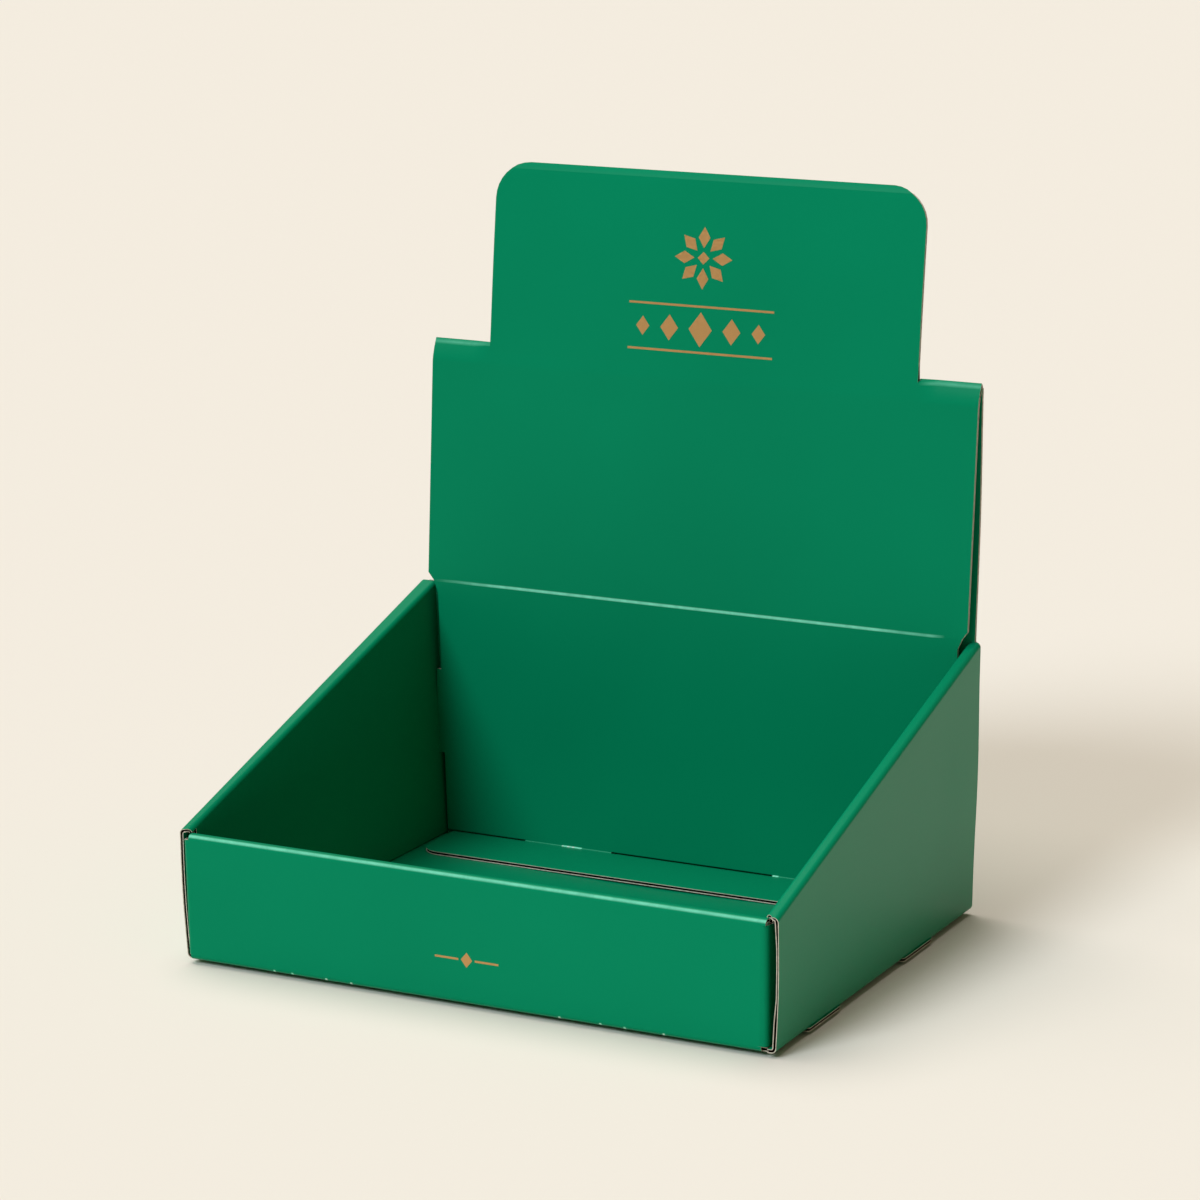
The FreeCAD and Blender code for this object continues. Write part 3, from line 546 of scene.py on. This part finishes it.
class DISPLAYBOX_OT_strip(BoxOperator):
    """Fold the middle strip: foot flap, inner back, header, rear, floor and front"""
    bl_idname = "displaybox.strip"
    bl_label = "Middle strip"

    def execute(self, context):
        half = mm("board") / 2
        rear = mm("depth") / 2 - half
        front = -rear
        ply = rear - PLY_GAP
        foot = 3 * half + FOOT_GAP
        crease = rear - CREASE_IN
        rim = mm("front_height") - half
        roll = front + mm("front_wall") - mm("board")
        top = mm("shoulder_height") - half
        left, right = STRIP_ENDS
        piece = start_board("folded_strip", (left, mm("foot_front")), (right, crease), foot)
        need("EDGE", lambda p: near(p.y, crease), "the foot flap's crease")
        curl = [(ply + back, BEND + up) for back, up in CURL]
        shoulder = [(rear - 0.65, top), (rear - 0.2, top - 0.3), (rear, top - 1.15)]
        follow([(crease, foot), (rear - RIDGE_IN, RIDGE), (ply, BEND), *curl, *shoulder,
                (rear, half), (front, half), (front, rim), (roll, rim), (roll, ROLL_END)])
        folds = ((crease, foot), (rear, half), (front, half), (front, rim), (roll, rim))
        for y, z in folds:
            round_fold(lambda p: near(p.y, y) and near(p.z, z), mm("fold"), "a fold")
        self.trim_foot(foot, crease)
        self.trim_back(rear)
        self.trim_walls(rear, rim, roll)
        self.free_header(rear)
        self.raise_header(rear, ply, top)
        self.fold_corners(rear, rim)
        # Pale ink along these folds: partly stretch of the ink, partly a painted highlight,
        # strongest on the front wall's top fold.
        for y, z, amount in ((front, rim, 0.64), (roll, rim, 0.18), (crease, foot, 0.18)):
            wear_and_highlight(lambda p: math.hypot(p.y - y, p.z - z) < 0.5 * mm("fold"), amount)
        self.crack_and_highlight_folds(front, half, crease, foot, ply)
        self.bow_floor(rear, half)
        make_board(piece, (varnished_print("varnished_print_strip", "X"),
                           cut_liner("kraft_liner_edge_strip"),
                           cut_flutes("kraft_flute_edge_strip", (1, 0, 0))))
        return {"FINISHED"}

    def trim_foot(self, foot, crease):
        """Cuts the foot flap to width, rounds its corners and slits its crease."""
        width = mm("foot_width") / 2
        slit_end = mm("slit") / 2
        bridge_end = slit_end + mm("bridge")
        trim_ends(lambda p: p.y > 60 and 2 < p.z < foot + 0.5, -width, width)
        round_corner(lambda p: near(p.y, mm("foot_front")), FOOT_CORNER, "the foot flap's corners")
        opened = lambda p: p.y > crease - mm("fold") and 2 < p.z < foot + mm("fold")
        score(opened, 0, -bridge_end, -slit_end, slit_end, bridge_end)
        drop(lambda p: opened(p) and not slit_end < abs(p.x) < bridge_end)

    def trim_back(self, rear):
        """Cuts the inner back, its side tabs and the upper back to their outlines."""
        shoulder = mm("shoulder_height")
        inner = lambda p: rear - 6 < p.y < rear - 2 and 2.5 < p.z < RIDGE
        score(inner, 2, *TAB, NOTCH, RIDGE - RIDGE_PALE_INK_REACH, RIDGE - 0.3)
        tab = lambda p: inner(p) and TAB[0] < p.z < TAB[1]
        plain = lambda p: inner(p) and p.z < NOTCH and not TAB[0] < p.z < TAB[1]
        trim(plain, (-115.8, 3.0), (-119.5, 110.0))
        trim(plain, (116.2, 3.0), (117.5, 110.0))
        trim_ends(tab, -120.4, 120.4)
        corner = lambda p: inner(p) and p.z > NOTCH
        trim(corner, (-119.6, NOTCH), (-121.6, RIDGE))
        trim(corner, (117.4, NOTCH), (119.4, RIDGE))
        upper = lambda p: p.y < rear - 1 and p.z > RIDGE
        score(upper, 2, RIDGE + 0.3, RIDGE + RIDGE_PALE_INK_REACH, BEVEL)
        trim(lambda p: upper(p) and p.z < BEVEL, (-121.6, RIDGE), (-124.0, BEVEL))
        trim(lambda p: upper(p) and p.z < BEVEL, (119.4, RIDGE), (121.5, BEVEL))
        above = lambda p: p.z > BEVEL and p.y < rear - 0.05
        trim(above, (-124.1, BEVEL), (-123.2, shoulder))
        trim(above, (121.6, BEVEL), (122.5, shoulder))
        score(lambda p: upper(p) and BEVEL < p.z < BEND, 2, *evenly(BEVEL, BEND, 12.0))

    def trim_walls(self, rear, rim, roll):
        """Cuts the floor, the front wall and its roll, and the rear to their widths."""
        front = -rear
        rim_fold = rim - RIM_FOLD
        shoulder = mm("shoulder_height")
        behind = lambda p: p.y > rear - 0.1
        score(behind, 2, FLOOR_FOLD, FLAP_TOP, WALL_TOP)
        turn = CORNER_FACE - mm("corner_fold")
        trim_ends(lambda p: behind(p) and FLOOR_FOLD < p.z < FLAP_TOP, -turn, turn)
        free = lambda p: behind(p) and p.z > WALL_TOP
        trim(free, (-123.9, WALL_TOP), (-123.0, shoulder))
        trim(free, (122.9, WALL_TOP), (122.8, shoulder))
        face = lambda p: p.y < front + 0.1
        score(face, 2, FLOOR_FOLD, rim_fold)
        trim_ends(lambda p: p.z < FLOOR_FOLD and front + 1.3 < p.y < 60, -FLOOR_EDGE, FLOOR_EDGE)
        trim_ends(lambda p: p.z < FLOOR_FOLD and p.y < front + 1.3, *FRONT_FOOT)
        trim_ends(lambda p: p.z < FLOOR_FOLD and p.y > rear - 1.4, -FLOOR_EDGE, FLOOR_EDGE)
        trim_ends(lambda p: face(p) and FLOOR_FOLD < p.z < rim_fold, *FRONT_CORNERS)
        trim_ends(lambda p: p.z > rim_fold and p.y < roll + 1, *FRONT_RIM)
        trim_ends(lambda p: near(p.y, roll) and p.z < rim - 1, -FRONT_INNER, FRONT_INNER)

    def free_header(self, rear):
        """Cuts the header out of the rear ply, and out of the curl over to the shoulders."""
        edge = mm("header_width") / 2
        radius = mm("header_corner")
        curl = lambda p: p.z > BEND and p.y < rear - 0.02
        behind = lambda p: p.y > rear - 0.1 and p.z > WALL_TOP
        corners = lambda p: behind(p) and SILL < p.z < SILL + radius
        score(lambda p: curl(p) or behind(p), 0, -edge - 8, -edge, edge, edge + 8)
        score(behind, 2, 122.0, 132.0, SILL, SILL + radius, *evenly(SILL + radius, BEND, 10.0))
        score(corners, 0, radius - edge, edge - radius)
        for side in (-1, 1):
            middle = Vector((side * (edge - radius), 0, SILL + radius))
            square = lambda p: corners(p) and edge - radius < side * p.x < edge
            spokes = [Vector((side * math.sin(a), 0, -math.cos(a))) * radius
                      for a in (math.radians(15 * i) for i in range(7))]
            for a, b in zip(spokes, spokes[1:]):
                run = b - a
                cut(square, middle + a, (run.z, 0, -run.x), drop_outer=False)

        def freed(p):
            if abs(p.x) > edge or p.z < BEND and not behind(p):
                return False
            if behind(p) and p.z < SILL:
                return False
            beyond = Vector((abs(p.x) - edge + radius, SILL + radius - p.z))
            return not (beyond.x > 0 and beyond.y > 0 and behind(p)
                        and beyond.length > radius * 0.99)

        drop(freed)

    def raise_header(self, rear, ply, top):
        """Stands the header up in the plane of the front ply, leaning and curling back, and
        bows the rear ply under it."""
        edge = mm("header_width") / 2
        need("EDGE", lambda p: abs(p.x) < 1 and near(p.z, BEND) and p.y < ply + 1, "the header")
        tall = mm("overall_height")
        lean = mm("header_lean") / (tall - BEND)
        follow([(ply, BEND), (ply + mm("header_lean"), tall)])
        round_corner(lambda p: near(p.z, tall), mm("header_corner"), "the header's corners")
        levels = [BEND + up for back, up in CURL]
        header = lambda p: abs(p.x) < edge and p.z > BEND
        score(header, 2, *levels, *evenly(top, tall, 8.0), tall - 2.5, tall - 5)
        for level in levels:
            need("VERT", lambda p: near(abs(p.x), edge) and near(p.z, level)
                 and p.y < rear - 0.9, "the header's foot")
            bpy.ops.transform.resize(value=(1, 0, 1),
                                     center_override=(0, ply + lean * (level - BEND), 0))
        bpy.ops.mesh.select_all(action="SELECT")
        bpy.ops.mesh.remove_doubles(threshold=0.02)
        push(lambda p: near(p.z, (BEND + tall) / 2, 6) and abs(p.x) < edge + 1
             and p.y < rear + 4, (0, -0.4, 0), 44)
        push(lambda p: p.z > tall - 0.1, (0, 0.9, 0), 11)
        push(lambda p: p.z > tall - 0.1, (0, 0.6, 0), 5.5)
        push(lambda p: p.y > rear - 0.1 and near(p.z, 160, 12), (0, 1.3, 0), 44)

    def fold_corners(self, rear, rim):
        """Folds the corner flaps of the front and the rear in behind the side walls."""
        radius = mm("corner_fold")
        rim_fold = rim - RIM_FOLD
        slope = (mm("rear_height") - mm("front_height")) / mm("depth")
        for side in (-1, 1):
            for y, inward, high, reach in ((-rear, 1, rim_fold, FRONT_FLAPS),
                                           (rear, -1, FLAP_TOP, REAR_FLAPS)):
                bend, start, tuck = radius, CORNER_FACE - radius, 0.0
                if y < 0:
                    start = side * FRONT_CORNERS[side > 0]
                    bend, tuck = RIGHT_CORNER if side > 0 else LEFT_CORNER
                arc = [(bend * math.sin(a), bend * (1 - math.cos(a)))
                       for a in (math.radians(15 * i) for i in range(7))]
                run = [*arc, (bend - tuck, bend + 4), (bend - tuck, reach)]
                need("EDGE", lambda p: near(p.x, side * start) and near(p.y, y)
                     and near(p.z, (FLOOR_FOLD + high) / 2), "the corner flaps")
                for (x, back), (next_x, next_back) in zip(run, run[1:]):
                    step = (side * (next_x - x), inward * (next_back - back), 0)
                    bpy.ops.mesh.extrude_edges_move(TRANSFORM_OT_translate={"value": step})
        move(lambda p: p.x > 118.8 and 0.1 < p.y + rear < 30 and near(p.z, FLOOR_FOLD),
             (RIGHT_FLAP_FOOT, 0, 0))
        move(lambda p: p.x > 119 and 5 < p.y + rear < 60 and near(p.z, rim_fold),
             (RIGHT_FLAP_TOP, 0, 0))
        move(lambda p: p.x < -121 and 40 < p.y < rear - 0.02 and near(p.z, FLAP_TOP),
             (REAR_LEFT_FLAP_TOP, 0, 0))
        move(lambda p: p.x < -120.2 and p.y < -40 and near(p.z, rim_fold),
             (LEFT_FLAP_TOP, 0, 0))
        cut(lambda p: 40 < p.y < rear - 1 and abs(p.x) > 121 and FLOOR_FOLD < p.z < FLAP_TOP,
            (0, rear, 106.6), (0, -slope, 1))

    def crack_and_highlight_folds(self, front, half, crease, foot, ply):
        """Cracks the print along the folds that are bent the most, and pales the ink along the
        ridge and the top of the shoulders' curl, partly as a painted highlight.
        """
        reach = 0.95 * mm("fold")
        foot_bend = lambda p: math.hypot(p.y - crease, p.z - foot) < reach
        for low, high in FOOT_CRACKS:
            score(foot_bend, 0, low - 1, low, high, high + 1)
            wear_and_highlight(lambda p: foot_bend(p) and low - 0.1 < p.x < high + 0.1, CRACKED)
        front_bend = lambda p: math.hypot(p.y - front, p.z - half) < reach
        for x in FRONT_NICKS:
            score(front_bend, 0, x - 0.6, x - 0.25, x + 0.25, x + 0.6)
            wear_and_highlight(lambda p: front_bend(p) and p.z < 1.35 and near(p.x, x, 0.3), CRACKED)
        crest = lambda p: near(p.z, RIDGE, 0.6) and p.y < ply
        score(crest, 0, -110, -85, 80, 92, 106, 112)
        for low, high, amount in RIDGE_WEAR_AND_HIGHLIGHT:
            wear_and_highlight(lambda p: near(p.z, RIDGE, 0.35) and p.y < ply and low < p.x < high, amount)
        # A painted highlight in pale ink along the top of the shoulders' curl.
        curl_end = BEND + CURL[-1][1]
        wear_and_highlight(lambda p: near(p.z, curl_end) and abs(p.x) > mm("header_width") / 2 + 0.75, 0.3)

    def bow_floor(self, rear, half):
        """Lets the middle of the floor bow down to the table."""
        floor = lambda p: p.z < half + 0.1 and abs(p.y) < rear - 3
        score(floor, 0, *evenly(-110, 110, 22))
        score(floor, 1, *evenly(-90, 90, 20))
        push(lambda p: floor(p) and abs(p.x) < 12 and abs(p.y) < 12,
             (0, 0, -mm("stand_off")), 90)


class DISPLAYBOX_OT_side_walls(BoxOperator):
    """Fold the two rolled-over side walls; the left one leans out"""
    bl_idname = "displaybox.side_walls"
    bl_label = "Side walls"

    def execute(self, context):
        materials = (varnished_print("varnished_print_sides", "Z"),
                     cut_liner("kraft_liner_edge_sides"),
                     cut_flutes("kraft_flute_edge_sides", (1, 0, 1)))
        self.fold_wall("left_wall", -1, mm("left_lean_front"), mm("left_lean_rear"), materials)
        self.fold_wall("right_wall", 1, 0.0, mm("right_lean"), materials)
        return {"FINISHED"}

    def fold_wall(self, name, side, front_lean, rear_lean, materials):
        half = mm("board") / 2
        outer = mm("width") / 2 - half
        set_back = LEFT_SET_BACK if side < 0 else RIGHT_SET_BACK
        front, back = set_back - mm("depth") / 2, mm("depth") / 2 - WALL_BACK_GAP
        slope = (mm("rear_height") - mm("front_height")) / mm("depth")
        front_top = mm("front_height") + mm("wall_rise") + slope * set_back - half
        strip = mm("side_strip") - mm("board")
        ends = sorted((side * (outer - WALL_FOOT), side * outer))
        piece = start_board(name, (ends[0], front), (ends[1], back), half)
        need("EDGE", lambda p: near(p.x, side * outer), "the floor fold")
        for step in ((0, 0, front_top - half), (-side * strip, 0, 0),
                     (-side * mm("side_spread"), 0, WALL_END - front_top)):
            bpy.ops.mesh.extrude_edges_move(TRANSFORM_OT_translate={"value": step})
        self.lean_wall(side, outer, strip, front_lean, rear_lean, slope * (back - front))
        lean = (front_lean + rear_lean) / 2
        middle = (front + back) / 2
        round_fold(lambda p: near(side * p.x, outer, 1.2) and near(p.y, middle) and p.z < 1,
                   mm("fold"), "a wall's floor fold")
        for x in (outer + lean, outer + lean - strip):
            round_fold(lambda p: near(side * p.x, x, 1.2) and near(p.y, middle) and p.z > 60,
                       mm("fold"), "a wall's top fold")
        # The inner ply ends behind the front wall, and the strip's front end is cut askew.
        cut(lambda p: 10 < p.z < 70 and side * p.x < outer + lean / 2 - 1.5,
            (0, front + 4.6, 0), (0, -1, 0))
        start = Vector((side * (outer + front_lean - mm("fold") - 0.3), front, 0))
        aim = Vector((-side * 3.6, -strip, 0))
        cut(lambda p: p.z > 70 and side * p.x < outer + lean - 0.8, start, aim, drop_outer=False)
        drop(lambda p: p.z > front_top - 3 and (p - start).dot(aim) > 0.01)
        score(lambda p: True, 1, *evenly(front, back, 14.0))
        outside = lambda p: side * p.x > outer - 0.4 and 2.1 < p.z
        for level in evenly(2, 106, 9.5):
            score(lambda p: outside(p) and front_top + slope * (p.y - front - 7) > level + 2,
                  2, level)
        bow = (side * mm("wall_bow"), 0, 0)
        for y, z, reach in ((front, 26, 24), (back, 58, 45)):
            push(lambda p: near(p.y, y, 1) and near(p.z, z, 6) and side * p.x > outer - 1,
                 bow, reach)
        crushed = None
        if side > 0:
            self.add_lips(outer)
            crushed = (lambda p: p.y < front + 1 and 14 < p.z < 49.3
                       and outer - 1 < p.x < outer + 0.25, (0.5, 0, 0))
        make_board(piece, materials, crushed)

    def lean_wall(self, side, outer, strip, front_lean, rear_lean, climb):
        """Raises a wall's top to the rear and leans the wall out. Where its front leans, the
        front of its strip and of its floor fold go out too, and the strip widens behind."""
        strip_out, fold_out, strip_wider = 0.9, 0.7, 2.0
        move(lambda p: p.y > 0 and p.z > 40, (side * rear_lean, 0, climb))
        if front_lean:
            inner_front, inner_rear = outer + front_lean - strip, outer + rear_lean - strip
            move(lambda p: p.y < 0 and p.z > 40, (side * front_lean, 0, 0))
            move(lambda p: p.y < 0 and p.z > 40 and near(side * p.x, inner_front),
                 (side * strip_out, 0, 0))
            move(lambda p: p.y < 0 and p.z < 1 and near(side * p.x, outer),
                 (side * fold_out, 0, 0))
            move(lambda p: p.y > 0 and p.z > 40 and near(side * p.x, inner_rear),
                 (-side * strip_wider, 0, 0))

    def add_lips(self, outer):
        """Lips of the floor that show beyond the wall where its tabs lock."""
        for low, high in LIPS:
            place = (outer - 0.4, (low + high) / 2, 0.1)
            bpy.ops.mesh.primitive_plane_add(size=1, location=place)
            bpy.ops.transform.resize(value=(LIP_REACH, high - low, 1))
        round_corner(lambda p: p.x > outer + 1.1 and p.z < 1, LIP_CORNER, "the lips' corners")


class DISPLAYBOX_OT_foil(BoxOperator):
    """Stamp the plain foil ornaments on the header and the front"""
    bl_idname = "displaybox.foil"
    bl_label = "Foil ornaments"

    def execute(self, context):
        strip = bpy.data.objects.get("folded_strip")
        if strip is None:
            raise RuntimeError("fold the strip first")
        bpy.ops.object.select_all(action="DESELECT")
        bpy.ops.mesh.primitive_circle_add(vertices=4, radius=MM, fill_type="NGON",
                                          location=(0, 0, 0), rotation=(math.pi / 2, 0, 0))
        piece = bpy.context.object
        piece.name = "foil_ornaments"
        bpy.ops.object.transform_apply(location=True, rotation=True, scale=True)
        bpy.ops.object.mode_set(mode="EDIT")
        bpy.ops.mesh.delete(type="VERT")
        self.lay_out(mm("depth") / 2 - 5.25, -mm("depth") / 2 - 0.75)
        bpy.ops.mesh.select_all(action="SELECT")
        bpy.ops.transform.translate(value=(0, 0, mm("stand_off") * MM))
        bpy.ops.object.mode_set(mode="OBJECT")
        wrap = piece.modifiers.new("lie_on_board", "SHRINKWRAP")
        wrap.target = strip
        wrap.wrap_method = "NEAREST_SURFACEPOINT"
        wrap.wrap_mode = "ABOVE_SURFACE"
        wrap.offset = 0.03 * MM
        bpy.ops.object.modifier_apply(modifier=wrap.name)
        bpy.ops.object.mode_set(mode="EDIT")
        bpy.ops.mesh.select_all(action="SELECT")
        bpy.ops.mesh.normals_make_consistent(inside=False)
        bpy.ops.object.mode_set(mode="OBJECT")
        foil = piece.modifiers.new("foil", "SOLIDIFY")
        foil.thickness = 0.02 * MM
        foil.offset = 0
        bpy.ops.object.modifier_apply(modifier=foil.name)
        piece.data.materials.append(stamped_foil())
        place_piece(piece)
        return {"FINISHED"}

    def lay_out(self, header, front):
        """Lays the ornaments just before the header and the front wall: a ring of lozenges
        over a row between two rules, and a lozenge between two short rules."""
        ring = (0, 260.5)
        for i in range(8):
            self.lozenge(header, (0, ring[1] + 8.5), (2.6, 4.4), turn=45 * i, about=ring)
        self.lozenge(header, ring, (2.6, 2.6))
        for x, wide, high in ((0, 5.2, 7.2), (-14.0, 4.0, 5.4), (14.0, 4.0, 5.4),
                              (-26.0, 3.0, 4.0), (26.0, 3.0, 4.0)):
            self.lozenge(header, (x, 231.0), (wide, high))
        for z in (221.5, 240.5):
            self.rule(header, (0, z), (65.0, 0.9))
        for x in (-10.5, 6.5):
            self.rule(front, (x, 17.5), (10.0, 0.8))
        self.lozenge(front, (-2.0, 17.5), (2.4, 3.0))

    def lozenge(self, y, middle, reach, turn=0, about=(0, 0)):
        place = Vector((middle[0], y, middle[1])) * MM
        bpy.ops.mesh.primitive_circle_add(vertices=4, radius=MM, fill_type="NGON",
                                          location=place, rotation=(math.pi / 2, 0, 0))
        bpy.ops.transform.resize(value=(reach[0], 1, reach[1]), center_override=place)
        if turn:
            bpy.ops.transform.rotate(value=math.radians(turn), orient_axis="Y",
                                     center_override=Vector((about[0], y, about[1])) * MM)

    def rule(self, y, middle, size):
        place = Vector((middle[0], y, middle[1])) * MM
        bpy.ops.mesh.primitive_plane_add(size=MM, location=place, rotation=(math.pi / 2, 0, 0))
        bpy.ops.transform.resize(value=(size[0], 1, size[1]), center_override=place)


class DISPLAYBOX_OT_stage(BoxOperator):
    """Lay the floor, hang the soft lights and set the camera"""
    bl_idname = "displaybox.stage"
    bl_label = "Stage"

    def execute(self, context):
        bpy.ops.object.select_all(action="DESELECT")
        bpy.ops.mesh.primitive_plane_add(size=40, location=(0, 0, 0))
        floor = bpy.context.object
        floor.name = "seamless_floor"
        floor.data.materials.append(seamless_paper())
        floor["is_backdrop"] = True
        self.hang_light("front_light", toward=(-0.24, -0.76, 0.60), spread=22,
                        colour=(0.9, 1.0, 1.12))
        self.hang_light("top_light", toward=(-0.32, 0.08, 0.94), spread=58,
                        colour=(1.03, 1.0, 0.985))
        world = bpy.data.worlds.new("studio_room")
        world.use_nodes = True
        room = world.node_tree.nodes["Background"]
        room.inputs["Color"].default_value = (1.0, 0.88, 0.62, 1)
        room.inputs["Strength"].default_value = context.scene.display_box_sizes.fill_light
        context.scene.world = world
        self.set_camera(context)
        context.scene.view_settings.view_transform = "Standard"
        return {"FINISHED"}

    def hang_light(self, name, toward, spread, colour):
        """Hangs a light in a direction from the box, as wide as its spread in degrees."""
        bpy.ops.object.light_add(type="SUN", location=toward)
        lamp = bpy.context.object
        lamp.name = name
        lamp.data.energy = getattr(bpy.context.scene.display_box_sizes, name)
        lamp.data.angle = math.radians(spread)
        lamp.data.color = colour
        lamp.rotation_euler = Vector(toward).to_track_quat("Z", "Y").to_euler()

    def set_camera(self, context):
        """Stands a long lens before the box, a little to its right and over it. The angles
        are in radians, and the camera is far enough away to look past a point near the
        middle of the box."""
        around, above, roll = 0.44566, 0.21864, 0.01021
        aim, distance = Vector((4.54, -2.75, 139.9)) * MM, 1.57734
        back = Vector((math.sin(around) * math.cos(above), -math.cos(around) * math.cos(above),
                       math.sin(above)))
        right = Vector((math.cos(around), math.sin(around), 0))
        up = back.cross(right)
        axes = (right * math.cos(roll) + up * math.sin(roll),
                up * math.cos(roll) - right * math.sin(roll), back)
        place = aim + back * distance
        bpy.ops.object.camera_add(location=place)
        camera = bpy.context.object
        camera.name = "studio_camera"
        camera.matrix_world = Matrix.Translation(place) @ Matrix(axes).transposed().to_4x4()
        camera.data.sensor_width = 36.0
        camera.data.lens = 120.65
        camera.data.clip_end = 100.0
        context.scene.camera = camera


class DISPLAYBOX_PT_panel(bpy.types.Panel):
    """Sizes and finish of the box, and the pieces to make"""
    bl_label = "Display box"
    bl_idname = "DISPLAYBOX_PT_panel"
    bl_space_type = "VIEW_3D"
    bl_region_type = "UI"
    bl_category = "Display box"

    def draw(self, context):
        for group in (context.scene.display_box_sizes, context.scene.display_box_finish):
            column = self.layout.column(align=True)
            for name in group.__annotations__:
                column.prop(group, name)
        for operator in OPERATORS:
            self.layout.operator(operator.bl_idname)


OPERATORS = (DISPLAYBOX_OT_strip, DISPLAYBOX_OT_side_walls, DISPLAYBOX_OT_foil,
             DISPLAYBOX_OT_stage)
CLASSES = (BoxSizes, BoxFinish, *OPERATORS, DISPLAYBOX_PT_panel)


def register():
    for item in CLASSES:
        bpy.utils.register_class(item)
    bpy.types.Scene.display_box_sizes = bpy.props.PointerProperty(type=BoxSizes)
    bpy.types.Scene.display_box_finish = bpy.props.PointerProperty(type=BoxFinish)


def unregister():
    del bpy.types.Scene.display_box_finish
    del bpy.types.Scene.display_box_sizes
    for item in reversed(CLASSES):
        bpy.utils.unregister_class(item)


def main():
    register()
    bpy.ops.displaybox.strip()
    bpy.ops.displaybox.side_walls()
    bpy.ops.displaybox.foil()
    bpy.ops.displaybox.stage()
    whole = [list(corner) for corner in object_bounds()]


if __name__ == "__main__":
    main()
